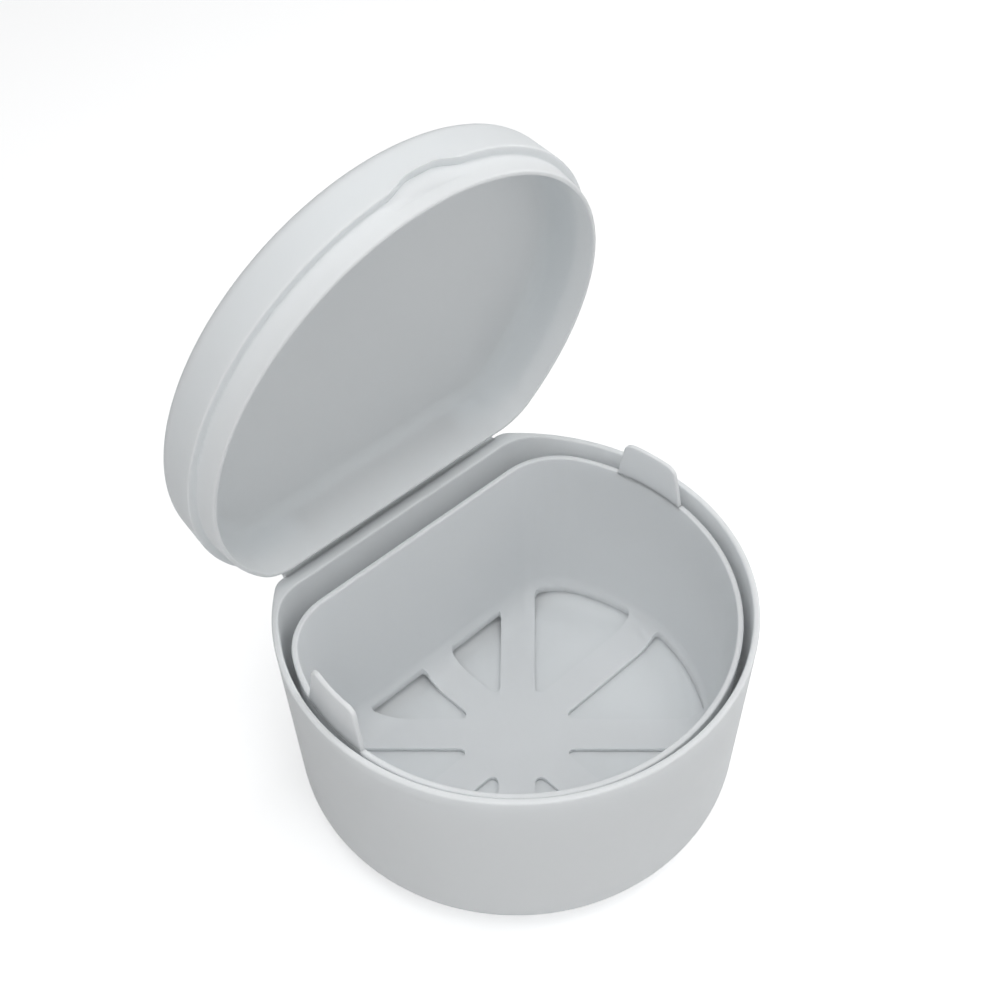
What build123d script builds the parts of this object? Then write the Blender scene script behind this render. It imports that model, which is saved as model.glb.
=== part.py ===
from build123d import *
from math import radians, tan
import os

# Driving dimensions in millimetres

# outline of the rim and the lid: a circle cut flat on the hinge side
case_radius = 44.0
hinge_side = 33.4
outline_corner = 4.0

# tub
tub_height = 46.0
tub_wall = 1.2
tub_floor = 1.6
tub_lean = 0.6
tub_side = 31.6
tub_corner = 10.9
tub_base_round = 9.4
rim_round = 0.35

# flange round the flat side's rim, which carries the hinge
flange_height = 3.0
flange_inset = 0.1

# strainer basket
basket_drop = 2.5
basket_wall = 1.1
basket_floor = 1.1
basket_lean = 0.8
basket_side = 26.6
basket_corner = 14.4
basket_base_round = 7.6

# drain windows in the basket floor
spoke_count = 8
spoke_width = 7.4
hub_radius = 11.6
window_margin = 0.5
window_corner = 1.0

# lift tabs on the basket rim
tab_height = 8.9
tab_root_width = 15.2
tab_top_width = 11.6
tab_corner = 2.0
tab_thickness = 0.9
tab_lean = 0.9
tab_offset = 3.0
tab_root_depth = 0.8

# lid
lid_height = 8.4
lid_top = 1.1
lid_lean = 0.6
lid_edge_round = 2.4
lid_inner_round = 2.6
lid_open_angle = 77.0

# collar that plugs into the tub
collar_depth = 4.2
collar_wall = 0.8
collar_lean = 0.14
collar_corner = 9.4

# finger notch in the lid's front edge
notch_width = 12.0
notch_height = 1.7
notch_corner = 0.8

# relief pocket in the lid, behind the collar on the hinge side
pocket_length = 40.0
pocket_depth = 5.0

# living hinge along the flat side
hinge_length = 53.0
hinge_reach = 2.0
lip_thickness = 1.2
lip_chamfer = 0.6
film_reach = 0.45
film_thickness = 0.3
film_bend = 0.2

# clearances
seat_gap = 0.2
collar_clearance = 0.25
collar_side_clearance = 0.3
basket_clearance = 0.25

# Places worked out from the dimensions

rim_z = tub_height
inner_radius = case_radius - tub_wall
inner_side = tub_side - tub_wall
inner_corner = tub_corner - tub_wall
lid_wall_side = hinge_side - tub_wall
ledge_z = rim_z + seat_gap
lid_top_z = ledge_z + lid_height
ceiling_z = lid_top_z - lid_top
collar_end_z = ledge_z - collar_depth
collar_radius = inner_radius - collar_clearance
collar_side = inner_side - collar_side_clearance
lid_inner_radius = collar_radius - collar_wall
lid_inner_side = collar_side - collar_wall
lid_inner_corner = collar_corner - collar_wall
basket_rim_z = rim_z - basket_drop
basket_radius = lid_inner_radius - collar_lean - basket_clearance
basket_inner_radius = basket_radius - basket_wall
tab_radius = basket_radius - (basket_wall - tab_thickness) / 2
basket_inner_side = basket_side - basket_wall
basket_inner_corner = basket_corner - basket_wall
hinge_y = hinge_side + hinge_reach
hinge_z = rim_z + seat_gap / 2
lip_end = hinge_y - film_reach


def d_outline(radius, side, corner):
    """D-shaped face: a circle cut by a chord square to +Y, its two corners rounded."""
    with BuildSketch(mode=Mode.PRIVATE) as outline:
        Circle(radius)
        with Locations((0, side)):
            Rectangle(2 * radius, 2 * radius, align=(Align.CENTER, Align.MIN), mode=Mode.SUBTRACT)
        fillet(outline.vertices(), corner)
    return outline.sketch


def d_block(low_z, low_outline, high_z, high_outline):
    """Solid between two D outlines, each given as its radius, side and corner."""
    with BuildPart(mode=Mode.PRIVATE) as block:
        with BuildSketch(Plane.XY.offset(low_z)):
            add(d_outline(*low_outline))
        with BuildSketch(Plane.XY.offset(high_z)):
            add(d_outline(*high_outline))
        loft(ruled=True)
    return block.part


# Tub: a D-shaped cup with a rounded base edge, and a flange and a lip along the hinge

with BuildPart() as tub_cavity:
    add(
        d_block(
            tub_floor,
            (inner_radius - tub_lean, inner_side - tub_lean, inner_corner),
            rim_z,
            (inner_radius, inner_side, inner_corner),
        )
    )
    fillet(tub_cavity.faces().sort_by(Axis.Z)[0].edges(), tub_base_round - tub_wall)

with BuildPart() as tub:
    add(
        d_block(
            0,
            (case_radius - tub_lean, tub_side - tub_lean, tub_corner),
            rim_z,
            (case_radius, tub_side, tub_corner),
        )
    )
    fillet(tub.faces().sort_by(Axis.Z)[0].edges(), tub_base_round)
    with BuildSketch(Plane.XY.offset(rim_z - flange_height)):
        add(d_outline(case_radius - flange_inset, hinge_side, outline_corner))
    extrude(amount=flange_height)
    with BuildSketch(Plane.YZ):
        with BuildLine():
            Polyline(
                (tub_side, rim_z),
                (lip_end, rim_z),
                (lip_end, rim_z - lip_thickness + lip_chamfer),
                (lip_end - lip_chamfer, rim_z - lip_thickness),
                (tub_side, rim_z - lip_thickness),
                close=True,
            )
        make_face()
    extrude(amount=hinge_length / 2, both=True)
    add(tub_cavity.part, mode=Mode.SUBTRACT)
    fillet(tub.faces().sort_by(Axis.Z)[-1].inner_wires().edges(), rim_round)

tub.part.label = "tub"

# Strainer basket: a D-shaped liner with a spoked floor and two lift tabs on its rim

with BuildPart() as basket_cavity:
    add(
        d_block(
            tub_floor + basket_floor,
            (basket_inner_radius - basket_lean, basket_inner_side - basket_lean, basket_inner_corner),
            basket_rim_z,
            (basket_inner_radius, basket_inner_side, basket_inner_corner),
        )
    )
    fillet(basket_cavity.faces().sort_by(Axis.Z)[0].edges(), basket_base_round - basket_floor)

with BuildPart() as drain_windows:
    with BuildSketch():
        add(
            d_outline(
                basket_inner_radius - basket_lean - window_margin,
                basket_inner_side - basket_lean - window_margin,
                basket_inner_corner,
            )
        )
        Circle(hub_radius, mode=Mode.SUBTRACT)
        with PolarLocations(0, spoke_count // 2, angular_range=180):
            Rectangle(2 * case_radius, spoke_width, mode=Mode.SUBTRACT)
        offset(amount=-window_corner, mode=Mode.REPLACE)
        offset(amount=window_corner, mode=Mode.REPLACE)
    extrude(amount=tub_floor + basket_floor + basket_base_round)

with BuildPart() as lift_tabs:
    with BuildSketch(Plane.XY.offset(basket_rim_z - tab_root_depth)):
        Circle(tab_radius)
    with BuildSketch(Plane.XY.offset(basket_rim_z + tab_height)):
        Circle(tab_radius - tab_lean)
    loft(ruled=True)
    with BuildSketch(Plane.XY.offset(basket_rim_z - tab_root_depth)):
        Circle(tab_radius - tab_thickness)
    with BuildSketch(Plane.XY.offset(basket_rim_z + tab_height)):
        Circle(tab_radius - tab_lean - tab_thickness)
    loft(ruled=True, mode=Mode.SUBTRACT)
    with BuildSketch(Plane.YZ) as tab_face:
        with BuildLine():
            Polyline(
                (tab_offset - tab_root_width / 2, basket_rim_z - tab_root_depth),
                (tab_offset - tab_root_width / 2, basket_rim_z),
                (tab_offset - tab_top_width / 2, basket_rim_z + tab_height),
                (tab_offset + tab_top_width / 2, basket_rim_z + tab_height),
                (tab_offset + tab_root_width / 2, basket_rim_z),
                (tab_offset + tab_root_width / 2, basket_rim_z - tab_root_depth),
                close=True,
            )
        make_face()
        fillet(tab_face.vertices().group_by(Axis.Y)[-1], tab_corner)
    extrude(amount=case_radius, both=True, mode=Mode.INTERSECT)

with BuildPart() as strainer_basket:
    add(
        d_block(
            tub_floor,
            (basket_radius - basket_lean, basket_side - basket_lean, basket_corner),
            basket_rim_z,
            (basket_radius, basket_side, basket_corner),
        )
    )
    fillet(strainer_basket.faces().sort_by(Axis.Z)[0].edges(), basket_base_round)
    add(basket_cavity.part, mode=Mode.SUBTRACT)
    add(drain_windows.part, mode=Mode.SUBTRACT)
    fillet(strainer_basket.faces().sort_by(Axis.Z)[-1].edges(), rim_round)
    add(lift_tabs.part)

strainer_basket.part.label = "strainer_basket"

# Lid, made closed on the rim: a shallow cap with a collar inside its edge and a hinge lip

with BuildPart() as lid_cavity:
    add(
        d_block(
            collar_end_z,
            (lid_inner_radius - collar_lean, lid_inner_side, lid_inner_corner),
            ledge_z,
            (lid_inner_radius, lid_inner_side, lid_inner_corner),
        )
    )
    add(
        d_block(
            ledge_z,
            (lid_inner_radius, lid_inner_side, lid_inner_corner),
            ceiling_z,
            (lid_inner_radius - lid_lean, lid_inner_side, lid_inner_corner),
        )
    )
    fillet(lid_cavity.faces().sort_by(Axis.Z)[-1].edges(), lid_inner_round)

with BuildPart() as notch:
    with BuildSketch(Plane.XZ) as notch_face:
        with Locations((0, ledge_z)):
            Rectangle(notch_width, 2 * notch_height)
        fillet(notch_face.vertices(), notch_corner)
    extrude(amount=2 * case_radius)
    Cylinder(collar_radius, 2 * lid_top_z, mode=Mode.SUBTRACT)

with BuildPart() as closed_lid:
    add(
        d_block(
            ledge_z,
            (case_radius, hinge_side, outline_corner),
            lid_top_z,
            (case_radius - lid_lean, hinge_side - lid_lean, outline_corner),
        )
    )
    fillet(closed_lid.faces().sort_by(Axis.Z)[-1].edges(), lid_edge_round)
    with BuildSketch(Plane.YZ):
        with BuildLine():
            Polyline(
                (lid_wall_side, ledge_z),
                (lip_end, ledge_z),
                (lip_end, ledge_z + lip_thickness - lip_chamfer),
                (lip_end - lip_chamfer, ledge_z + lip_thickness),
                (lid_wall_side, ledge_z + lip_thickness),
                close=True,
            )
        make_face()
    extrude(amount=hinge_length / 2, both=True)
    add(notch.part, mode=Mode.SUBTRACT)
    add(
        d_block(
            collar_end_z,
            (collar_radius - collar_lean, collar_side, collar_corner),
            ledge_z,
            (collar_radius, collar_side, collar_corner),
        )
    )
    add(lid_cavity.part, mode=Mode.SUBTRACT)
    with BuildSketch(Plane.XY.offset(ledge_z)):
        with Locations((0, (collar_side + lid_wall_side) / 2)):
            SlotOverall(pocket_length, lid_wall_side - collar_side)
    extrude(amount=pocket_depth, mode=Mode.SUBTRACT)

lid = closed_lid.part.rotate(Axis((0, hinge_y, hinge_z), (1, 0, 0)), -lid_open_angle)
lid.label = "lid"

# Hinge film: a thin strip bent from the tub's lip to the open lid's lip

film_start = Vector(0, lip_end, rim_z - film_thickness / 2)
closed_film_end = Vector(0, lip_end - hinge_y, ledge_z + film_thickness / 2 - hinge_z)
film_end = closed_film_end.rotate(Axis.X, -lid_open_angle) + Vector(0, hinge_y, hinge_z)
film_rise = film_end.Z - film_start.Z
film_knee = Vector(0, film_end.Y + film_rise / tan(radians(lid_open_angle)), film_start.Z)

with BuildPart() as hinge_film:
    with BuildSketch(Plane.YZ):
        with BuildLine():
            FilletPolyline(
                (film_start.Y, film_start.Z),
                (film_knee.Y, film_knee.Z),
                (film_end.Y, film_end.Z),
                radius=film_bend,
            )
        trace(line_width=film_thickness)
    extrude(amount=hinge_length / 2, both=True)

hinge_film.part.label = "hinge_film"

# One file for each piece

os.makedirs("parts", exist_ok=True)
export_step(tub.part, "parts/tub.step")
export_step(strainer_basket.part, "parts/strainer_basket.step")
export_step(lid, "parts/lid.step")
export_step(hinge_film.part, "parts/hinge_film.step")
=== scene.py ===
"""Retainer case: a D-shaped tub with a flip-up lid on a living hinge and a lift-out strainer basket.

Every size is in millimetres in the row frame: origin on the axis of the tub's round wall in the plane
of its underside, +Z up, +Y towards the hinge. Meshes are made in metres with their place in the mesh.
"""

from __future__ import annotations

import logging
import math
from dataclasses import dataclass, field
from enum import Enum
from typing import Callable, Iterable, Sequence

import bmesh
import bpy
from mathutils import Matrix, Vector

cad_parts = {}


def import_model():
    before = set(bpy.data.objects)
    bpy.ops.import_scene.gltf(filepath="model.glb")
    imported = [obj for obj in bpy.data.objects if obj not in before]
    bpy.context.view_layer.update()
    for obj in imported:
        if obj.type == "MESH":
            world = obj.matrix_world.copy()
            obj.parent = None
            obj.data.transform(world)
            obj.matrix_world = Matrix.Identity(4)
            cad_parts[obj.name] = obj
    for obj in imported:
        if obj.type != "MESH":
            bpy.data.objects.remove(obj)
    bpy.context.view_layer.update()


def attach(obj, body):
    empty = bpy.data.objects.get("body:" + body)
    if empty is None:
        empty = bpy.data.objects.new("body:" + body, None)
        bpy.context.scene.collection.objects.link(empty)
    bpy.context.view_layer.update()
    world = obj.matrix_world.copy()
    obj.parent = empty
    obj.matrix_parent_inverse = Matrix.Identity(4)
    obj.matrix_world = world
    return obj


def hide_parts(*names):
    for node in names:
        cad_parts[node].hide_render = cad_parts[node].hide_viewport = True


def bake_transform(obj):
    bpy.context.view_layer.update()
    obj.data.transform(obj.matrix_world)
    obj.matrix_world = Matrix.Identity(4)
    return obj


LOG = logging.getLogger("retainer_case")
MM = 0.001
SHARP_ANGLE = math.radians(32)

Point = tuple[float, float]


class Place(Enum):
    """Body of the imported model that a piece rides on."""

    TUB = "tub_body"
    LID = "lid_body"
    BASKET = "basket_body"


class Slot(Enum):
    """Names of the two plastic materials."""

    CASE = "case_plastic"
    BASKET = "basket_plastic"


# Outlines and shells


@dataclass(frozen=True)
class Outline:
    """D-shaped outline: a circle cut by a chord square to +Y, its two corners rounded.

    Args:
        radius: radius of the round wall.
        side: distance of the flat side from the axis.
        corner: radius of the two corners.
    """

    radius: float
    side: float
    corner: float

    def inset(self, by: float) -> Outline:
        """The outline moved inwards by a distance."""
        return Outline(self.radius - by, self.side - by, max(self.corner - by, 0.05))

    def mixed(self, other: Outline, share: float) -> Outline:
        """The outline part of the way towards another one."""
        return Outline(
            self.radius + (other.radius - self.radius) * share,
            self.side + (other.side - self.side) * share,
            self.corner + (other.corner - self.corner) * share,
        )

    def points(self, arc: int = 76, bend: int = 14, flat: int = 24) -> list[Point]:
        """Points round the outline, anticlockwise from the front.

        Args:
            arc: steps on each half of the round wall.
            bend: steps on each corner.
            flat: steps on the flat side.

        Returns:
            The points as x, y pairs, the same number for every outline.
        """
        low = self.side - self.corner
        across = math.sqrt(max((self.radius - self.corner) ** 2 - low**2, 1e-6))
        turn = math.atan2(low, across)
        start = -math.pi / 2
        right: list[Point] = []
        for i in range(arc):
            angle = start + (turn - start) * i / arc
            right.append((self.radius * math.cos(angle), self.radius * math.sin(angle)))
        for i in range(bend):
            angle = turn + (math.pi / 2 - turn) * i / bend
            right.append((across + self.corner * math.cos(angle), low + self.corner * math.sin(angle)))
        middle = [(across - 2 * across * i / flat, self.side) for i in range(flat + 1)]
        left = [(-x, y) for x, y in reversed(right[1:])]
        return right + middle + left


@dataclass(frozen=True)
class Ring:
    """One station of a shell: an outline at a height."""

    z: float
    outline: Outline


def arc_rings(
    base: Callable[[float], Outline],
    edge_z: float,
    radius: float,
    upwards: bool,
    inwards: bool,
    steps: int = 7,
) -> list[Ring]:
    """Rings round a quarter-round edge between a flat face and a wall, from the face to the wall.

    Args:
        base: outline of the wall at a height.
        edge_z: height of the flat face.
        radius: radius of the edge.
        upwards: True if the wall lies above the face.
        inwards: True if the flat face lies inside the wall's outline, False if outside.
        steps: number of steps on the quarter round.

    Returns:
        The rings, from the flat face to the wall.
    """
    sign = 1.0 if upwards else -1.0
    side = 1.0 if inwards else -1.0
    rings = []
    for i in range(steps + 1):
        angle = math.pi / 2 * i / steps
        z = edge_z + sign * radius * (1 - math.cos(angle))
        rings.append(Ring(z, base(z).inset(side * radius * (1 - math.sin(angle)))))
    return rings


def shell_mesh(name: str, rings: Sequence[Ring]) -> bpy.types.Mesh:
    """A shell lofted through rings and closed at both ends with a flat face.

    Args:
        name: name of the mesh.
        rings: the stations in order, so that each ring's anticlockwise run makes outward faces.

    Returns:
        The mesh in metres.
    """
    mesh = bmesh.new()
    loops = []
    for ring in rings:
        loops.append([mesh.verts.new((x * MM, y * MM, ring.z * MM)) for x, y in ring.outline.points()])
    count = len(loops[0])
    for low, high in zip(loops[:-1], loops[1:]):
        for i in range(count):
            j = (i + 1) % count
            mesh.faces.new((low[i], low[j], high[j], high[i]))
    mesh.faces.new(list(reversed(loops[0])))
    mesh.faces.new(loops[-1])
    bmesh.ops.recalc_face_normals(mesh, faces=mesh.faces)
    data = bpy.data.meshes.new(name)
    mesh.to_mesh(data)
    mesh.free()
    return data


def as_object(name: str, data: bpy.types.Mesh) -> bpy.types.Object:
    """An object with that mesh, linked to the scene."""
    obj = bpy.data.objects.new(name, data)
    bpy.context.scene.collection.objects.link(obj)
    return obj


def smooth(obj: bpy.types.Object, angle: float = SHARP_ANGLE) -> None:
    """Shades the object smooth, with sharp edges where its faces meet at more than an angle."""
    obj.data.shade_smooth()
    obj.data.set_sharp_from_angle(angle=angle)


def baked(obj: bpy.types.Object, name: str) -> bpy.types.Mesh:
    """The object's mesh with its modifiers applied, as a mesh of its own."""
    bpy.context.view_layer.update()
    graph = bpy.context.evaluated_depsgraph_get()
    data = bpy.data.meshes.new_from_object(obj.evaluated_get(graph))
    data.name = name
    return data


def settle(obj: bpy.types.Object) -> None:
    """Replaces the object's mesh by its modified one and removes the modifiers."""
    data = baked(obj, obj.data.name + "_made")
    obj.modifiers.clear()
    obj.data = data


def join(target: bpy.types.Object, extras: Iterable[bpy.types.Object]) -> None:
    """Joins the meshes of other objects into the target and removes those objects."""
    mesh = bmesh.new()
    mesh.from_mesh(target.data)
    for extra in extras:
        mesh.from_mesh(extra.data)
        bpy.data.objects.remove(extra)
    mesh.to_mesh(target.data)
    mesh.free()


def cut(obj: bpy.types.Object, cutters: Sequence[bpy.types.Object]) -> None:
    """Cuts closed shapes out of the object and removes the cutters."""
    for cutter in cutters:
        change = obj.modifiers.new("cut", "BOOLEAN")
        change.operation = "DIFFERENCE"
        change.solver = "EXACT"
        change.object = cutter
    settle(obj)
    for cutter in cutters:
        bpy.data.objects.remove(cutter)


def prism(name: str, outline: Sequence[Point], low: float, high: float) -> bpy.types.Object:
    """An upright prism over an outline, between two heights in millimetres."""
    mesh = bmesh.new()
    base = [mesh.verts.new((x * MM, y * MM, low * MM)) for x, y in outline]
    top = [mesh.verts.new((x * MM, y * MM, high * MM)) for x, y in outline]
    mesh.faces.new(list(reversed(base)))
    mesh.faces.new(top)
    for i in range(len(base)):
        j = (i + 1) % len(base)
        mesh.faces.new((base[i], base[j], top[j], top[i]))
    bmesh.ops.recalc_face_normals(mesh, faces=mesh.faces)
    data = bpy.data.meshes.new(name)
    mesh.to_mesh(data)
    mesh.free()
    return as_object(name, data)


# Node trees


class NodeTree:
    """A small wrapper that adds and links nodes in a tree."""

    def __init__(self, tree: bpy.types.NodeTree) -> None:
        """Keeps the tree to add nodes to."""
        self.tree = tree
        self.column = 0

    def add(self, kind: str, **settings: object) -> bpy.types.Node:
        """Adds a node and sets its properties.

        Args:
            kind: the node's type name.
            settings: properties of the node by name.

        Returns:
            The new node.
        """
        node = self.tree.nodes.new(kind)
        node.location = (self.column * 190, 0)
        self.column += 1
        for key, value in settings.items():
            setattr(node, key, value)
        return node

    def link(self, source: bpy.types.NodeSocket, target: bpy.types.NodeSocket) -> None:
        """Links an output to an input."""
        self.tree.links.new(source, target)


@dataclass(frozen=True)
class MouldedPlastic:
    """Satin moulded polypropylene, pale cool grey-white.

    Args:
        name: name of the material.
        colour: main colour, linear.
        cloud_colour: colour of the faint clouds in it, linear.
        roughness_low: lowest roughness.
        roughness_high: highest roughness.
        grain: size of the spark-eroded grain, mm.
        grain_depth: height of that grain, mm.
        scatter: share of light that goes through the skin of the plastic.
    """

    name: str
    colour: tuple[float, float, float]
    cloud_colour: tuple[float, float, float]
    roughness_low: float = 0.40
    roughness_high: float = 0.52
    grain: float = 0.35
    grain_depth: float = 0.006
    scatter: float = 0.6

    def build(self) -> bpy.types.Material:
        """Builds the material.

        Returns:
            The material, with its pattern on object coordinates.
        """
        material = bpy.data.materials.new(self.name)
        material.use_nodes = True
        nodes = NodeTree(material.node_tree)
        material.node_tree.nodes.clear()
        place = nodes.add("ShaderNodeTexCoord").outputs["Object"]

        clouds = nodes.add("ShaderNodeTexNoise", noise_dimensions="3D")
        clouds.inputs["Scale"].default_value = 38.0
        clouds.inputs["Detail"].default_value = 3.0
        nodes.link(place, clouds.inputs["Vector"])
        tint = nodes.add("ShaderNodeMix", data_type="RGBA")
        tint.inputs["A"].default_value = (*self.colour, 1.0)
        tint.inputs["B"].default_value = (*self.cloud_colour, 1.0)
        nodes.link(clouds.outputs["Fac"], tint.inputs["Factor"])

        wear = nodes.add("ShaderNodeTexNoise", noise_dimensions="3D")
        wear.inputs["Scale"].default_value = 260.0
        wear.inputs["Detail"].default_value = 4.0
        nodes.link(place, wear.inputs["Vector"])
        rough = nodes.add("ShaderNodeMapRange")
        rough.inputs["From Min"].default_value = 0.3
        rough.inputs["From Max"].default_value = 0.7
        rough.inputs["To Min"].default_value = self.roughness_low
        rough.inputs["To Max"].default_value = self.roughness_high
        nodes.link(wear.outputs["Fac"], rough.inputs["Value"])

        grain = nodes.add("ShaderNodeTexNoise", noise_dimensions="3D")
        grain.inputs["Scale"].default_value = 1.0 / (self.grain * MM)
        grain.inputs["Detail"].default_value = 2.0
        nodes.link(place, grain.inputs["Vector"])
        waves = nodes.add("ShaderNodeTexNoise", noise_dimensions="3D")
        waves.inputs["Scale"].default_value = 90.0
        waves.inputs["Detail"].default_value = 1.0
        nodes.link(place, waves.inputs["Vector"])
        wave_bump = nodes.add("ShaderNodeBump")
        wave_bump.inputs["Strength"].default_value = 1.0
        wave_bump.inputs["Distance"].default_value = 0.05 * MM
        nodes.link(waves.outputs["Fac"], wave_bump.inputs["Height"])
        bump = nodes.add("ShaderNodeBump")
        bump.inputs["Strength"].default_value = 1.0
        bump.inputs["Distance"].default_value = self.grain_depth * MM
        nodes.link(grain.outputs["Fac"], bump.inputs["Height"])
        nodes.link(wave_bump.outputs["Normal"], bump.inputs["Normal"])

        shader = nodes.add("ShaderNodeBsdfPrincipled")
        shader.inputs["IOR"].default_value = 1.49
        shader.inputs["Specular IOR Level"].default_value = 0.45
        shader.inputs["Subsurface Weight"].default_value = self.scatter
        shader.inputs["Subsurface Radius"].default_value = (1.0, 1.0, 1.0)
        shader.inputs["Subsurface Scale"].default_value = 3.0 * MM
        nodes.link(tint.outputs["Result"], shader.inputs["Base Color"])
        nodes.link(rough.outputs["Result"], shader.inputs["Roughness"])
        nodes.link(bump.outputs["Normal"], shader.inputs["Normal"])
        end = nodes.add("ShaderNodeOutputMaterial")
        nodes.link(shader.outputs["BSDF"], end.inputs["Surface"])
        return material


def dress(obj: bpy.types.Object, material: bpy.types.Material) -> None:
    """Gives the object that material alone."""
    obj.data.materials.clear()
    obj.data.materials.append(material)


# The case


@dataclass(frozen=True)
class CaseSizes:
    """Sizes that the sub-assemblies share, in mm."""

    rim: Outline = Outline(44.0, 33.4, 4.0)
    rim_z: float = 46.0
    wall: float = 1.2
    floor: float = 1.6
    seat_gap: float = 0.2
    hinge_reach: float = 2.0
    film_reach: float = 0.45
    film: float = 0.3
    hinge_length: float = 53.0
    lip: float = 1.2
    open_angle: float = 77.0

    @property
    def ledge_z(self) -> float:
        """Height of the shut lid's ledge."""
        return self.rim_z + self.seat_gap

    @property
    def hinge_y(self) -> float:
        """Distance of the hinge axis from the tub's axis."""
        return self.rim.side + self.hinge_reach

    @property
    def hinge_z(self) -> float:
        """Height of the hinge axis."""
        return self.rim_z + self.seat_gap / 2

    @property
    def lip_end(self) -> float:
        """Where the hinge lips end and the film begins."""
        return self.hinge_y - self.film_reach

    def opened(self) -> Matrix:
        """Transform of the lid from shut to its place in the photograph, in metres."""
        centre = Vector((0, self.hinge_y * MM, self.hinge_z * MM))
        turn = Matrix.Rotation(-math.radians(self.open_angle), 4, "X")
        return Matrix.Translation(centre) @ turn @ Matrix.Translation(-centre)


def lip_bar(name: str, sizes: CaseSizes, root_y: float, face_z: float, upwards: bool) -> bpy.types.Object:
    """A hinge lip along the flat side, chamfered on the face away from the film.

    Args:
        name: name of the object.
        sizes: the case's shared sizes.
        root_y: where the lip starts inside the wall.
        face_z: height of the face that carries the film.
        upwards: True if the lip's thickness goes up from that face.

    Returns:
        The lip as an object with rounded edges.
    """
    sign = 1.0 if upwards else -1.0
    chamfer = 0.6
    profile = [
        (root_y, face_z),
        (sizes.lip_end, face_z),
        (sizes.lip_end, face_z + sign * (sizes.lip - chamfer)),
        (sizes.lip_end - chamfer, face_z + sign * sizes.lip),
        (root_y, face_z + sign * sizes.lip),
    ]
    half = sizes.hinge_length / 2
    mesh = bmesh.new()
    ends = [[mesh.verts.new((x * MM, y * MM, z * MM)) for y, z in profile] for x in (-half, half)]
    for i in range(len(profile)):
        j = (i + 1) % len(profile)
        mesh.faces.new((ends[0][i], ends[0][j], ends[1][j], ends[1][i]))
    mesh.faces.new(ends[0])
    mesh.faces.new(ends[1])
    bmesh.ops.recalc_face_normals(mesh, faces=mesh.faces)
    bmesh.ops.bevel(mesh, geom=mesh.edges[:], offset=0.12 * MM, segments=2, affect="EDGES", profile=0.5)
    data = bpy.data.meshes.new(name)
    mesh.to_mesh(data)
    mesh.free()
    return as_object(name, data)


@dataclass
class Tub:
    """The D-shaped cup with a rounded base edge and a flange round the flat side's rim."""

    sizes: CaseSizes
    top: Outline = Outline(44.0, 31.6, 10.9)
    lean: float = 0.6
    base_round: float = 9.4
    rim_round: float = 0.35
    flange_height: float = 3.0
    flange_round: float = 0.25

    def outside(self, z: float) -> Outline:
        """Outline of the outer wall at a height, without the flange."""
        foot = Outline(self.top.radius - self.lean, self.top.side - self.lean, self.top.corner)
        return foot.mixed(self.top, z / self.sizes.rim_z)

    def flange(self, z: float) -> Outline:
        """Outline of the outer wall at a height of the flange."""
        return Outline(self.outside(z).radius, self.sizes.rim.side, self.sizes.rim.corner)

    def inside(self, z: float) -> Outline:
        """Outline of the inner wall at a height."""
        return self.outside(z).inset(self.sizes.wall)

    def rings(self) -> list[Ring]:
        """Stations from the underside over the rim to the floor."""
        rim_z, floor = self.sizes.rim_z, self.sizes.floor
        start = self.outside(0).inset(self.base_round + 1.0)
        rings = [Ring(0.0, start)]
        rings += arc_rings(self.outside, 0.0, self.base_round, True, True, 14)
        low = rim_z - self.flange_height
        rings += [Ring(z, self.outside(z)) for z in (16.0, 24.0, 32.0, 40.0, low - 0.3, low)]
        for i in range(4):
            angle = math.pi / 2 * i / 3
            z = low + self.flange_round * (1 - math.cos(angle))
            full = self.flange(z)
            back = self.flange_round * (1 - math.sin(angle))
            rings.append(Ring(z, Outline(full.radius, full.side - back, full.corner)))
        rings += [Ring(z, self.flange(z)) for z in (rim_z - 1.5, rim_z - 0.8)]
        rings += list(reversed(arc_rings(self.flange, rim_z, self.rim_round, False, True, 5)))
        rings += arc_rings(self.inside, rim_z, self.rim_round, False, False, 5)
        rings += [Ring(z, self.inside(z)) for z in (rim_z - 0.8, 43.0, 36.0, 28.0, 20.0, 14.0)]
        inner_round = self.base_round - self.sizes.wall
        rings += list(reversed(arc_rings(self.inside, floor, inner_round, True, True, 14)))
        rings.append(Ring(floor, self.inside(floor).inset(inner_round + 1.0)))
        return rings

    def build(self, plastic: bpy.types.Material) -> bpy.types.Object:
        """Builds and dresses the tub.

        Args:
            plastic: the case's plastic.

        Returns:
            The tub, riding on its body.
        """
        tub = as_object("tub_shell", shell_mesh("tub_shell", self.rings()))
        lip = lip_bar("tub_lip", self.sizes, self.sizes.rim.side - 0.6, self.sizes.rim_z, False)
        join(tub, [lip])
        smooth(tub)
        dress(tub, plastic)
        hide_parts("tub")
        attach(tub, Place.TUB.value)
        return tub


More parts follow.
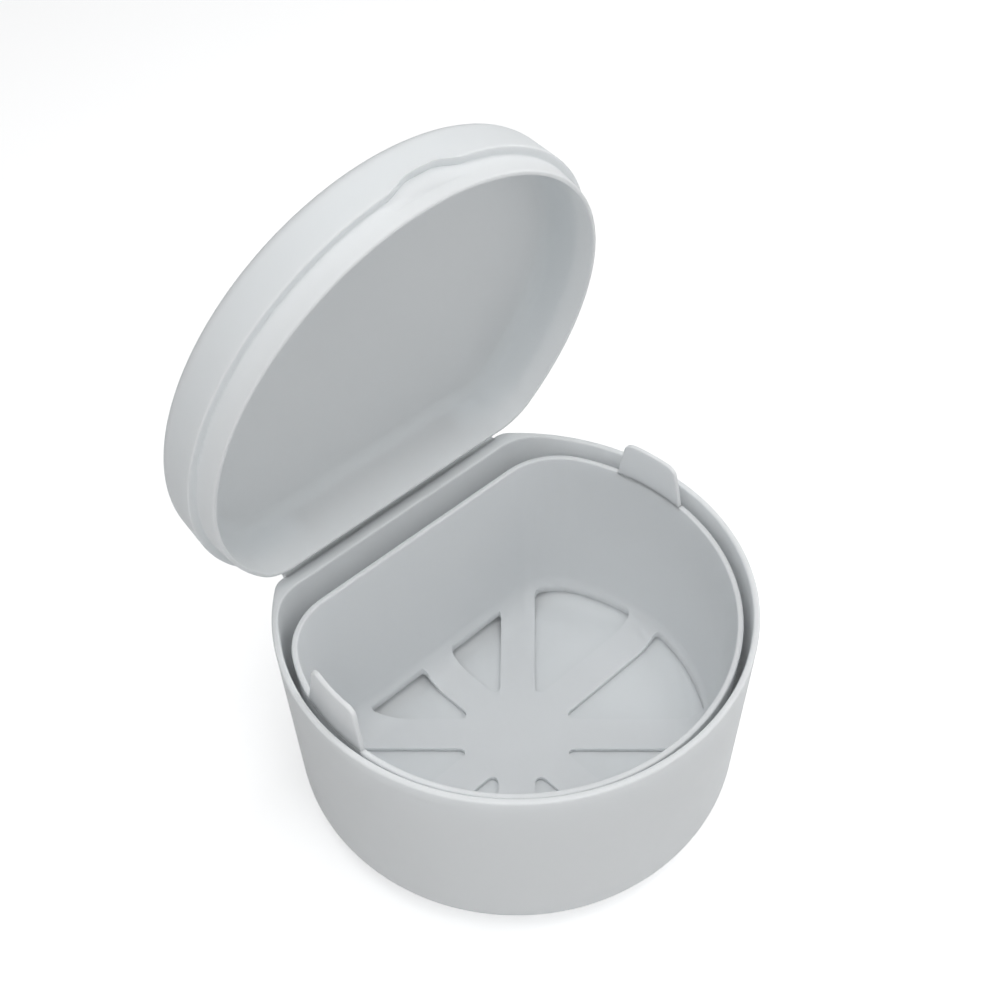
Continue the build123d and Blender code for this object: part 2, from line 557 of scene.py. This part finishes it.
@dataclass
class Lid:
    """The shallow cap with a ledge, a collar that plugs into the tub, a finger notch and a relief pocket."""

    sizes: CaseSizes
    height: float = 8.4
    top: float = 1.1
    lean: float = 0.6
    edge_round: float = 2.4
    inner_round: float = 2.6
    collar_depth: float = 4.2
    collar_wall: float = 0.8
    collar_lean: float = 0.14
    collar_root: Outline = Outline(42.55, 30.1, 9.4)
    ledge_round: float = 0.3
    notch_width: float = 15.0
    notch_height: float = 1.3
    notch_ramp: float = 5.6
    notch_steps: int = 12
    pocket_length: float = 40.0
    pocket_width: float = 2.1
    pocket_depth: float = 5.0

    @property
    def top_z(self) -> float:
        """Height of the shut lid's top."""
        return self.sizes.ledge_z + self.height

    @property
    def ceiling_z(self) -> float:
        """Height of the shut lid's ceiling."""
        return self.top_z - self.top

    @property
    def collar_end_z(self) -> float:
        """Height of the shut lid's collar end."""
        return self.sizes.ledge_z - self.collar_depth

    def outside(self, z: float) -> Outline:
        """Outline of the outer wall at a height."""
        rim = self.sizes.rim
        top = Outline(rim.radius - self.lean, rim.side - self.lean, rim.corner)
        return rim.mixed(top, (z - self.sizes.ledge_z) / self.height)

    def collar(self, z: float) -> Outline:
        """Outline of the collar's outer face at a height."""
        share = (self.sizes.ledge_z - z) / self.collar_depth
        root = self.collar_root
        return Outline(root.radius - self.collar_lean * share, root.side, root.corner)

    def inside(self, z: float) -> Outline:
        """Outline of the hollow at a height."""
        root = self.collar_root.inset(self.collar_wall)
        if z <= self.sizes.ledge_z:
            share = (self.sizes.ledge_z - z) / self.collar_depth
            return Outline(root.radius - self.collar_lean * share, root.side, root.corner)
        share = (z - self.sizes.ledge_z) / (self.ceiling_z - self.sizes.ledge_z)
        return Outline(root.radius - self.lean * share, root.side, root.corner)

    def rings(self) -> list[Ring]:
        """Stations from the top over the ledge and the collar to the ceiling."""
        top_z, ledge_z, end_z = self.top_z, self.sizes.ledge_z, self.collar_end_z
        rings = [Ring(top_z, self.outside(top_z).inset(self.edge_round + 1.0))]
        rings += arc_rings(self.outside, top_z, self.edge_round, False, True, 9)
        wall_stops = (top_z - 2.8, ledge_z + 3.0, ledge_z + 1.2, ledge_z + 0.6)
        rings += [Ring(z, self.outside(z)) for z in wall_stops]
        rings += list(reversed(arc_rings(self.outside, ledge_z, self.ledge_round, True, True, 4)))
        rings.append(Ring(ledge_z, self.sizes.rim.inset(0.5)))
        root = self.collar_root
        rings.append(Ring(ledge_z, Outline(root.radius + 0.35, root.side + 0.35, root.corner + 0.35)))
        fillet = 0.25
        for i in range(4):
            angle = math.pi / 2 * i / 3
            out = fillet * (1 - math.sin(angle))
            z = ledge_z - fillet * (1 - math.cos(angle))
            rings.append(Ring(z, self.collar(z).inset(-out)))
        rings += [Ring(z, self.collar(z)) for z in (ledge_z - 0.8, ledge_z - 2.2, end_z + 0.7)]
        rings += list(reversed(arc_rings(self.collar, end_z, 0.3, True, True, 4)))
        rings += arc_rings(self.inside, end_z, 0.3, True, False, 4)
        hollow_stops = (end_z + 0.8, ledge_z - 0.4, ledge_z + 0.4, self.ceiling_z - 3.2)
        rings += [Ring(z, self.inside(z)) for z in hollow_stops]
        rings += list(reversed(arc_rings(self.inside, self.ceiling_z, self.inner_round, False, True, 9)))
        rings.append(Ring(self.ceiling_z, self.inside(self.ceiling_z).inset(self.inner_round + 1.0)))
        return rings

    def notch(self) -> bpy.types.Object:
        """The finger notch in the front edge of the ledge, as a shape to cut out."""
        half, high, ramp = self.notch_width / 2, self.notch_height, self.notch_ramp
        ledge_z = self.sizes.ledge_z
        climb: list[Point] = []
        for i in range(self.notch_steps + 1):
            share = i / self.notch_steps
            climb.append((half - ramp * share, high * (1 - math.cos(math.pi * share)) / 2))
        edge: list[Point] = [(-half, -2.0), (half, -2.0)]
        edge += climb + [(-x, up) for x, up in reversed(climb)]
        mesh = bmesh.new()
        inner, outer = self.collar_root.radius + 0.02, self.sizes.rim.radius + 4.0
        rows = []
        for x, up in edge:
            y_in = -math.sqrt(inner**2 - x**2)
            rows.append(
                (
                    mesh.verts.new((x * MM, y_in * MM, (ledge_z + up) * MM)),
                    mesh.verts.new((x * MM, -outer * MM, (ledge_z + up) * MM)),
                )
            )
        for i in range(len(rows)):
            j = (i + 1) % len(rows)
            mesh.faces.new((rows[i][0], rows[j][0], rows[j][1], rows[i][1]))
        mesh.faces.new([row[0] for row in rows])
        mesh.faces.new([row[1] for row in rows])
        bmesh.ops.recalc_face_normals(mesh, faces=mesh.faces)
        data = bpy.data.meshes.new("notch")
        mesh.to_mesh(data)
        mesh.free()
        return as_object("notch", data)

    def pocket(self) -> bpy.types.Object:
        """The relief pocket between the collar and the flat wall, as a shape to cut out."""
        radius = self.pocket_width / 2
        half = self.pocket_length / 2 - radius
        middle = self.collar_root.side + radius
        outline: list[Point] = []
        for side in (1, -1):
            for i in range(13):
                angle = -math.pi / 2 + math.pi * i / 12 + (0 if side > 0 else math.pi)
                outline.append((side * half + radius * math.cos(angle), middle + radius * math.sin(angle)))
        ledge_z = self.sizes.ledge_z
        return prism("pocket", outline, ledge_z - 1.0, ledge_z + self.pocket_depth)

    def build(self, plastic: bpy.types.Material) -> bpy.types.Object:
        """Builds, opens and dresses the lid.

        Args:
            plastic: the case's plastic.

        Returns:
            The lid, riding on its body.
        """
        lid = as_object("lid_shell", shell_mesh("lid_shell", self.rings()))
        cut(lid, [self.notch(), self.pocket()])
        lip = lip_bar("lid_lip", self.sizes, self.sizes.rim.side - 0.6, self.sizes.ledge_z, True)
        join(lid, [lip])
        lid.data.transform(self.sizes.opened())
        smooth(lid)
        dress(lid, plastic)
        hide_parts("lid")
        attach(lid, Place.LID.value)
        return lid


@dataclass
class StrainerBasket:
    """The D-shaped liner with a spoked floor and two lift tabs on its rim."""

    sizes: CaseSizes
    rim: Outline = Outline(41.36, 26.6, 14.4)
    drop: float = 2.5
    wall: float = 1.1
    floor: float = 1.1
    lean: float = 0.8
    base_round: float = 7.6
    rim_round: float = 0.35
    spokes: int = 8
    spoke_width: float = 7.4
    hub_radius: float = 11.6
    window_margin: float = 0.5
    window_corner: float = 1.0
    tab_height: float = 8.9
    tab_root_width: float = 15.2
    tab_top_width: float = 11.6
    tab_corner: float = 2.0
    tab_thickness: float = 0.9
    tab_lean: float = 0.9
    tab_offset: float = 3.0
    tab_root_depth: float = 0.8

    @property
    def rim_z(self) -> float:
        """Height of the basket's rim."""
        return self.sizes.rim_z - self.drop

    @property
    def floor_z(self) -> float:
        """Height of the basket floor's top."""
        return self.sizes.floor + self.floor

    def outside(self, z: float) -> Outline:
        """Outline of the outer wall at a height."""
        foot = Outline(self.rim.radius - self.lean, self.rim.side - self.lean, self.rim.corner)
        return foot.mixed(self.rim, (z - self.sizes.floor) / (self.rim_z - self.sizes.floor))

    def inside(self, z: float) -> Outline:
        """Outline of the inner wall at a height."""
        return self.outside(z).inset(self.wall)

    def rings(self) -> list[Ring]:
        """Stations from the underside over the rim to the floor."""
        low, rim_z = self.sizes.floor, self.rim_z
        rings = [Ring(low, self.outside(low).inset(self.base_round + 1.0))]
        rings += arc_rings(self.outside, low, self.base_round, True, True, 12)
        rings += [Ring(z, self.outside(z)) for z in (14.0, 22.0, 30.0, 38.0, rim_z - 0.8)]
        rings += list(reversed(arc_rings(self.outside, rim_z, self.rim_round, False, True, 5)))
        rings += arc_rings(self.inside, rim_z, self.rim_round, False, False, 5)
        rings += [Ring(z, self.inside(z)) for z in (rim_z - 0.8, 38.0, 30.0, 22.0, 14.0)]
        inner_round = self.base_round - self.floor
        rings += list(reversed(arc_rings(self.inside, self.floor_z, inner_round, True, True, 12)))
        rings.append(Ring(self.floor_z, self.inside(self.floor_z).inset(inner_round + 1.0)))
        return rings

    def window_tree(self) -> bpy.types.NodeTree:
        """Node tree that leaves the drain windows of a plate: bars turned round the hub are cut from it.

        Returns:
            The tree, with the spoke count, spoke width, bar length, bar height and hub radius as inputs.
        """
        tree = bpy.data.node_groups.new("drain_windows", "GeometryNodeTree")
        face = tree.interface
        face.new_socket("Geometry", in_out="INPUT", socket_type="NodeSocketGeometry")
        face.new_socket("Spokes", in_out="INPUT", socket_type="NodeSocketInt")
        for title in ("Spoke Width", "Bar Length", "Bar Height", "Hub Radius"):
            face.new_socket(title, in_out="INPUT", socket_type="NodeSocketFloat")
        face.new_socket("Material", in_out="INPUT", socket_type="NodeSocketMaterial")
        face.new_socket("Geometry", in_out="OUTPUT", socket_type="NodeSocketGeometry")
        nodes = NodeTree(tree)
        given = nodes.add("NodeGroupInput").outputs
        half = nodes.add("ShaderNodeMath", operation="DIVIDE")
        half.inputs[1].default_value = 2.0
        nodes.link(given["Spokes"], half.inputs[0])
        row = nodes.add("GeometryNodeMeshLine", mode="OFFSET")
        row.inputs["Offset"].default_value = (0.0, 0.0, 0.0)
        nodes.link(half.outputs[0], row.inputs["Count"])
        size = nodes.add("ShaderNodeCombineXYZ")
        nodes.link(given["Bar Length"], size.inputs["X"])
        nodes.link(given["Spoke Width"], size.inputs["Y"])
        nodes.link(given["Bar Height"], size.inputs["Z"])
        bar = nodes.add("GeometryNodeMeshCube")
        nodes.link(size.outputs[0], bar.inputs["Size"])
        index = nodes.add("GeometryNodeInputIndex")
        step = nodes.add("ShaderNodeMath", operation="DIVIDE")
        step.inputs[0].default_value = math.tau
        nodes.link(given["Spokes"], step.inputs[1])
        angle = nodes.add("ShaderNodeMath", operation="MULTIPLY")
        nodes.link(index.outputs[0], angle.inputs[0])
        nodes.link(step.outputs[0], angle.inputs[1])
        turn = nodes.add("ShaderNodeCombineXYZ")
        nodes.link(angle.outputs[0], turn.inputs["Z"])
        bars = nodes.add("GeometryNodeInstanceOnPoints")
        nodes.link(row.outputs["Mesh"], bars.inputs["Points"])
        nodes.link(bar.outputs["Mesh"], bars.inputs["Instance"])
        nodes.link(turn.outputs[0], bars.inputs["Rotation"])
        hub = nodes.add("GeometryNodeMeshCylinder")
        hub.inputs["Vertices"].default_value = 48
        nodes.link(given["Hub Radius"], hub.inputs["Radius"])
        nodes.link(given["Bar Height"], hub.inputs["Depth"])
        solid = nodes.add("GeometryNodeRealizeInstances")
        nodes.link(bars.outputs["Instances"], solid.inputs["Geometry"])
        less_hub = nodes.add("GeometryNodeMeshBoolean", operation="DIFFERENCE", solver="EXACT")
        nodes.link(given["Geometry"], less_hub.inputs["Mesh 1"])
        nodes.link(hub.outputs["Mesh"], less_hub.inputs["Mesh 2"])
        less_bars = nodes.add("GeometryNodeMeshBoolean", operation="DIFFERENCE", solver="EXACT")
        less_bars.inputs["Self Intersection"].default_value = True
        nodes.link(less_hub.outputs["Mesh"], less_bars.inputs["Mesh 1"])
        nodes.link(solid.outputs["Geometry"], less_bars.inputs["Mesh 2"])
        real = nodes.add("GeometryNodeRealizeInstances")
        nodes.link(less_bars.outputs["Mesh"], real.inputs["Geometry"])
        skin = nodes.add("GeometryNodeSetMaterial")
        nodes.link(real.outputs["Geometry"], skin.inputs["Geometry"])
        nodes.link(given["Material"], skin.inputs["Material"])
        end = nodes.add("NodeGroupOutput")
        nodes.link(skin.outputs["Geometry"], end.inputs[0])
        return tree

    def windows(self, plastic: bpy.types.Material) -> bpy.types.Object:
        """The drain windows, as prisms with rounded corners to cut out.

        Args:
            plastic: the basket's plastic.

        Returns:
            One object with a prism for each window.
        """
        field_edge = self.inside(self.floor_z).inset(self.window_margin).points(arc=28, bend=6, flat=8)
        low, high = self.sizes.floor - 1.0, self.floor_z + self.base_round + 1.0
        windows = prism("windows", field_edge, low, high)
        height = 4.0 * high
        tree = self.window_tree()
        change = windows.modifiers.new("windows", "NODES")
        change.node_group = tree
        values = {
            "Spokes": self.spokes,
            "Spoke Width": self.spoke_width * MM,
            "Bar Length": 3.0 * self.rim.radius * MM,
            "Bar Height": height * MM,
            "Hub Radius": self.hub_radius * MM,
            "Material": plastic,
        }
        for item in tree.interface.items_tree:
            if item.in_out == "INPUT" and item.name in values:
                change[item.identifier] = values[item.name]
        settle(windows)
        mesh = bmesh.new()
        mesh.from_mesh(windows.data)
        bmesh.ops.remove_doubles(mesh, verts=mesh.verts, dist=0.002 * MM)
        corners = [
            edge
            for edge in mesh.edges
            if abs(edge.verts[0].co.z - edge.verts[1].co.z) > MM
            and len(edge.link_faces) == 2
            and edge.calc_face_angle() > math.radians(35)
        ]
        bmesh.ops.bevel(
            mesh,
            geom=corners,
            offset=self.window_corner * MM,
            segments=5,
            affect="EDGES",
            profile=0.5,
            clamp_overlap=False,
        )
        mesh.to_mesh(windows.data)
        mesh.free()
        return windows

    def tab_x(self, y: float, z: float, depth: float) -> float:
        """Distance of a tab's face from the middle plane at a point.

        Args:
            y: place along the case.
            z: height.
            depth: how far inside the outer face, mm.

        Returns:
            The distance in mm.
        """
        outer = self.rim.radius - (self.wall - self.tab_thickness) / 2
        share = (z - self.rim_z + self.tab_root_depth) / (self.tab_height + self.tab_root_depth)
        radius = outer - self.tab_lean * share - depth
        return math.sqrt(radius**2 - y**2)

    def tab_outline(self) -> list[Point]:
        """The tab's face as y, z points: a trapezium with two rounded top corners."""
        foot, top = self.tab_root_width / 2, self.tab_top_width / 2
        low, high = self.rim_z - self.tab_root_depth, self.rim_z + self.tab_height
        run = Vector((top - foot, self.tab_height)).normalized()
        corner = Vector((top, high))
        bend = self.tab_corner
        turn = math.acos(max(-1.0, min(1.0, (-run).dot(Vector((-1.0, 0.0))))))
        reach = bend / math.tan(turn / 2)
        start, end = corner - run * reach, corner + Vector((-reach, 0.0))
        centre = end - Vector((0.0, bend))
        first = math.atan2(start.y - centre.y, start.x - centre.x)
        steps = 8
        right: list[Point] = [(foot, low), (foot, self.rim_z)]
        climb = 8
        for i in range(1, climb):
            at = Vector((foot, self.rim_z)).lerp(start, i / climb)
            right.append((at.x, at.y))
        for i in range(steps + 1):
            angle = first + (math.pi / 2 - first) * i / steps
            right.append((centre.x + bend * math.cos(angle), centre.y + bend * math.sin(angle)))
        across = 10
        right += [(end.x - 2 * end.x * i / across, high) for i in range(1, across)]
        left = [(-y, z) for y, z in reversed(right[: 2 + climb - 1 + steps + 1])]
        base = [(-foot + 2 * foot * i / 14, low) for i in range(1, 14)]
        return [(y + self.tab_offset, z) for y, z in right + left + base]

    def tab(self, side: int) -> bpy.types.Object:
        """One lift tab, curved like the wall, with rounded edges.

        Args:
            side: 1 for the right tab, -1 for the left one.

        Returns:
            The tab as an object.
        """
        outline = self.tab_outline()
        middle = Vector((self.tab_offset, self.rim_z + self.tab_height / 2))
        thick, ease = self.tab_thickness, 0.3
        layers: list[tuple[float, float]] = []
        layers += [(0.0, share) for share in (0.12, 0.3, 0.5, 0.7, 0.86)]
        for i in range(5):
            angle = math.pi / 2 * i / 4
            layers.append((ease * (1 - math.sin(math.pi / 2 - angle)), -ease * (1 - math.sin(angle))))
        for i in range(5):
            angle = math.pi / 2 * i / 4
            layers.append((thick - ease * (1 - math.sin(angle)), -ease * (1 - math.cos(angle))))
        layers += [(thick, share) for share in (0.86, 0.7, 0.5, 0.3, 0.12)]
        mesh = bmesh.new()
        loops = []
        for depth, scale in layers:
            loop = []
            for y, z in outline:
                at = Vector((y, z))
                reach = (at - middle).length
                factor = scale if scale > 0 else (reach + scale) / reach
                at = middle + (at - middle) * factor
                loop.append(mesh.verts.new((side * self.tab_x(at.x, at.y, depth) * MM, at.x * MM, at.y * MM)))
            loops.append(loop)
        count = len(outline)
        for low, high in zip(loops[:-1], loops[1:]):
            for i in range(count):
                j = (i + 1) % count
                mesh.faces.new((low[i], low[j], high[j], high[i]))
        mesh.faces.new(loops[0])
        mesh.faces.new(loops[-1])
        bmesh.ops.remove_doubles(mesh, verts=mesh.verts, dist=0.001 * MM)
        bmesh.ops.recalc_face_normals(mesh, faces=mesh.faces)
        data = bpy.data.meshes.new("lift_tab")
        mesh.to_mesh(data)
        mesh.free()
        return as_object("lift_tab", data)

    def build(self, plastic: bpy.types.Material) -> bpy.types.Object:
        """Builds and dresses the basket.

        Args:
            plastic: the basket's plastic.

        Returns:
            The basket, riding on its body.
        """
        basket = as_object("basket_shell", shell_mesh("basket_shell", self.rings()))
        cut(basket, [self.windows(plastic)])
        join(basket, [self.tab(1), self.tab(-1)])
        smooth(basket)
        dress(basket, plastic)
        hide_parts("strainer_basket")
        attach(basket, Place.BASKET.value)
        return basket


@dataclass
class HingeFilm:
    """The thin strip that bends between the tub's lip and the lid's lip."""

    sizes: CaseSizes
    bend: float = 0.2
    across: int = 53
    along: int = 24

    def path(self) -> list[Point]:
        """Middle line of the open film as y, z points from the tub's lip to the lid's lip."""
        s = self.sizes
        start = Vector((s.lip_end, s.rim_z - s.film / 2))
        flat_end = Vector((s.lip_end - s.hinge_y, s.ledge_z + s.film / 2 - s.hinge_z))
        angle = -math.radians(s.open_angle)
        end = Vector(
            (
                s.hinge_y + flat_end.x * math.cos(angle) - flat_end.y * math.sin(angle),
                s.hinge_z + flat_end.x * math.sin(angle) + flat_end.y * math.cos(angle),
            )
        )
        knee = Vector((end.x + (end.y - start.y) / math.tan(math.radians(s.open_angle)), start.y))
        points = []
        for i in range(self.along + 1):
            t = i / self.along
            at = start * (1 - t) ** 2 + knee * 2 * t * (1 - t) + end * t**2
            points.append((at.x, at.y))
        return points

    def build(self, plastic: bpy.types.Material) -> bpy.types.Object:
        """Builds and dresses the film.

        Args:
            plastic: the case's plastic.

        Returns:
            The film, shaped in its open bend from the tub's lip to the lid's lip.
        """
        path = [Vector(point) for point in self.path()]
        half = self.sizes.film / 2
        faces: list[list[Point]] = []
        for i, at in enumerate(path):
            before, after = path[max(i - 1, 0)], path[min(i + 1, len(path) - 1)]
            run = (after - before).normalized()
            normal = Vector((-run.y, run.x))
            faces.append([tuple(at + normal * half), tuple(at - normal * half)])
        mesh = bmesh.new()
        reach = self.sizes.hinge_length / 2
        grid = []
        for i in range(self.across + 1):
            x = -reach + 2 * reach * i / self.across
            grid.append([[mesh.verts.new((x * MM, y * MM, z * MM)) for y, z in pair] for pair in faces])
        for i in range(self.across):
            for j in range(len(faces) - 1):
                for k in (0, 1):
                    low, high = grid[i][j][k], grid[i][j + 1][k]
                    mesh.faces.new((low, grid[i + 1][j][k], grid[i + 1][j + 1][k], high))
            for j in (0, len(faces) - 1):
                mesh.faces.new((grid[i][j][0], grid[i + 1][j][0], grid[i + 1][j][1], grid[i][j][1]))
        for i in (0, self.across):
            for j in range(len(faces) - 1):
                mesh.faces.new((grid[i][j][0], grid[i][j + 1][0], grid[i][j + 1][1], grid[i][j][1]))
        bmesh.ops.recalc_face_normals(mesh, faces=mesh.faces)
        data = bpy.data.meshes.new("hinge_strip")
        mesh.to_mesh(data)
        mesh.free()
        film = as_object("hinge_strip", data)
        smooth(film)
        dress(film, plastic)
        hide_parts("hinge_film")
        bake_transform(film)
        return film


# The studio


@dataclass(frozen=True)
class Lamp:
    """A square soft lamp that faces the case.

    Args:
        name: name of the lamp.
        place: where it hangs, in metres.
        size: side of its square, in metres.
        power: power in watts.
    """

    name: str
    place: tuple[float, float, float]
    size: float
    power: float


@dataclass
class Studio:
    """Pale floor, soft light and the camera at the photograph's place."""

    azimuth: float = -44.9
    elevation: float = 50.17
    distance: float = 272.14
    across: float = 1.61
    up: float = 25.16
    focal_pixels: float = 1307.76
    centre_x: float = 525.0
    centre_y: float = 620.0
    frame_pixels: float = 1000.0
    sensor: float = 36.0
    world_strength: float = 0.12
    lamps: tuple[Lamp, ...] = (
        Lamp("top", (0.0, 0.0, 0.8), 0.5, 2.1),
        Lamp("camera_side", (-0.25, -0.3, 0.7), 0.5, 1.55),
        Lamp("front", (0.0, -0.75, 0.4), 0.5, 0.75),
        Lamp("right", (0.55, -0.3, 0.6), 0.5, 1.2),
        Lamp("left", (-0.65, -0.1, 0.5), 0.5, 0.8),
        Lamp("right_low", (0.85, 0.05, 0.25), 0.4, 1.7),
    )

    def camera(self) -> None:
        """Creates the camera and makes it the scene's."""
        az, el = math.radians(self.azimuth), math.radians(self.elevation)
        back = Vector((math.sin(az) * math.cos(el), -math.cos(az) * math.cos(el), math.sin(el)))
        right = Vector((math.cos(az), math.sin(az), 0.0))
        rise = back.cross(right)
        data = bpy.data.cameras.new("camera")
        data.sensor_width = self.sensor
        data.lens = self.focal_pixels / self.frame_pixels * self.sensor
        data.shift_x = (self.frame_pixels / 2 - self.centre_x) / self.frame_pixels
        data.shift_y = (self.centre_y - self.frame_pixels / 2) / self.frame_pixels
        data.clip_start, data.clip_end = 0.01, 20.0
        camera = bpy.data.objects.new("camera", data)
        bpy.context.scene.collection.objects.link(camera)
        camera.location = (right * self.across + rise * self.up + back * self.distance) * MM
        camera.rotation_mode = "QUATERNION"
        camera.rotation_quaternion = back.to_track_quat("Z", "Y")
        bpy.context.scene.camera = camera

    def lamp(self, values: Lamp, aim: Vector) -> None:
        """Adds a lamp.

        Args:
            values: the lamp's values.
            aim: the point it faces, in metres.
        """
        data = bpy.data.lights.new(values.name, "AREA")
        data.shape = "SQUARE"
        data.size = values.size
        data.energy = values.power
        lamp = bpy.data.objects.new(values.name, data)
        bpy.context.scene.collection.objects.link(lamp)
        place = Vector(values.place)
        lamp.location = place
        lamp.rotation_mode = "QUATERNION"
        lamp.rotation_quaternion = (place - aim).to_track_quat("Z", "Y")

    def world(self) -> None:
        """Soft light from all round, seen by the camera as plain white."""
        world = bpy.data.worlds.new("studio")
        bpy.context.scene.world = world
        world.use_nodes = True
        world.node_tree.nodes.clear()
        nodes = NodeTree(world.node_tree)
        path = nodes.add("ShaderNodeLightPath")
        plain = nodes.add("ShaderNodeBackground")
        plain.inputs["Color"].default_value = (1.0, 1.0, 1.0, 1.0)
        plain.inputs["Strength"].default_value = 1.0
        soft = nodes.add("ShaderNodeBackground")
        soft.inputs["Color"].default_value = (0.985, 0.992, 1.0, 1.0)
        soft.inputs["Strength"].default_value = self.world_strength
        mix = nodes.add("ShaderNodeMixShader")
        nodes.link(path.outputs["Is Camera Ray"], mix.inputs["Fac"])
        nodes.link(soft.outputs["Background"], mix.inputs[1])
        nodes.link(plain.outputs["Background"], mix.inputs[2])
        end = nodes.add("ShaderNodeOutputWorld")
        nodes.link(mix.outputs["Shader"], end.inputs["Surface"])

    def floor(self) -> bpy.types.Object:
        """The pale floor, lifted to white for the camera apart from the object's shadow.

        Returns:
            The floor.
        """
        half = 2.5
        mesh = bmesh.new()
        corners = [mesh.verts.new((x * half, y * half, 0.0)) for x, y in ((-1, -1), (1, -1), (1, 1), (-1, 1))]
        mesh.faces.new(corners)
        data = bpy.data.meshes.new("floor")
        mesh.to_mesh(data)
        mesh.free()
        floor = as_object("floor", data)
        floor.location.z = -0.0002
        material = bpy.data.materials.new("floor_paper")
        material.use_nodes = True
        material.node_tree.nodes.clear()
        nodes = NodeTree(material.node_tree)
        place = nodes.add("ShaderNodeTexCoord").outputs["Object"]
        noise = nodes.add("ShaderNodeTexNoise")
        noise.inputs["Scale"].default_value = 300.0
        nodes.link(place, noise.inputs["Vector"])
        bump = nodes.add("ShaderNodeBump")
        bump.inputs["Distance"].default_value = 0.02 * MM
        nodes.link(noise.outputs["Fac"], bump.inputs["Height"])
        paper = nodes.add("ShaderNodeBsdfDiffuse")
        paper.inputs["Color"].default_value = (0.86, 0.865, 0.87, 1.0)
        nodes.link(bump.outputs["Normal"], paper.inputs["Normal"])
        path = nodes.add("ShaderNodeLightPath")
        lift = nodes.add("ShaderNodeMath", operation="MULTIPLY")
        lift.inputs[1].default_value = 0.42
        nodes.link(path.outputs["Is Camera Ray"], lift.inputs[0])
        glow = nodes.add("ShaderNodeEmission")
        glow.inputs["Color"].default_value = (1.0, 1.0, 1.0, 1.0)
        nodes.link(lift.outputs[0], glow.inputs["Strength"])
        both = nodes.add("ShaderNodeAddShader")
        nodes.link(paper.outputs["BSDF"], both.inputs[0])
        nodes.link(glow.outputs["Emission"], both.inputs[1])
        end = nodes.add("ShaderNodeOutputMaterial")
        nodes.link(both.outputs["Shader"], end.inputs["Surface"])
        data.materials.append(material)
        return floor

    def build(self) -> None:
        """Sets up the view transform, the camera, the light and the floor."""
        bpy.context.scene.view_settings.view_transform = "Standard"
        self.camera()
        self.world()
        self.floor()
        aim = Vector((0.0, 0.0, 0.04))
        for values in self.lamps:
            self.lamp(values, aim)


@dataclass
class RetainerCase:
    """The whole case: tub, lid, hinge film and strainer basket."""

    sizes: CaseSizes = field(default_factory=CaseSizes)
    case_plastic: MouldedPlastic = MouldedPlastic(
        "case_plastic", (0.790, 0.815, 0.828), (0.772, 0.797, 0.810)
    )
    basket_plastic: MouldedPlastic = MouldedPlastic(
        "basket_plastic", (0.805, 0.828, 0.843), (0.790, 0.812, 0.828)
    )

    def build(self) -> list[bpy.types.Object]:
        """Builds every piece.

        Returns:
            The pieces in the order they are built.
        """
        case = self.case_plastic.build()
        basket = self.basket_plastic.build()
        return [
            Tub(self.sizes).build(case),
            Lid(self.sizes).build(case),
            HingeFilm(self.sizes).build(case),
            StrainerBasket(self.sizes).build(basket),
        ]


def main() -> None:
    """Builds the case and the studio."""
    logging.basicConfig(level=logging.INFO, format="%(name)s: %(message)s")
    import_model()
    for piece in RetainerCase().build():
        LOG.info("%s: %d faces", piece.name, len(piece.data.polygons))
    Studio().build()
    bpy.context.view_layer.update()


if __name__ == "__main__":
    main()
